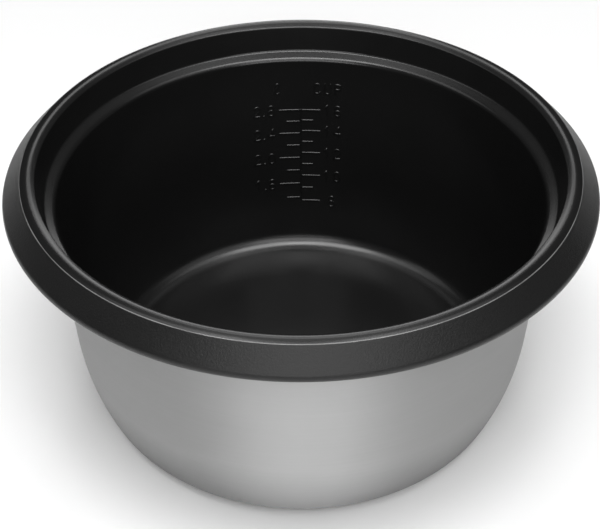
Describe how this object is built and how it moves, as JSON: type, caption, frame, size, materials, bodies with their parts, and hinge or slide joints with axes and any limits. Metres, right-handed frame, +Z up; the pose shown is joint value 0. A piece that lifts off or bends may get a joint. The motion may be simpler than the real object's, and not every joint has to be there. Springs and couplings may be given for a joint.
{
  "type": "rice cooker inner pot",
  "caption": "Round drawn aluminium cooking pot with a dark non-stick lining, a stepped neck, a sloping curled rim and a raised water-level scale inside.",
  "frame": {"origin": "middle of the flat base, on the surface that the pot stands on", "axes": "+Z up along the pot's axis; the level scale is inside at +Y, so a person looking along +Y reads it"},
  "size_m": [0.28, 0.28, 0.1358],
  "materials": {
    "bare_aluminium": "satin",
    "nonstick_coating": "semi-gloss",
    "matt_coating": "fine-grained matt"
  },
  "bodies": {
    "root": {"pot_shell": "bare_aluminium", "nonstick_lining": "nonstick_coating", "rim_coating": "matt_coating"}
  },
  "joints": []
}
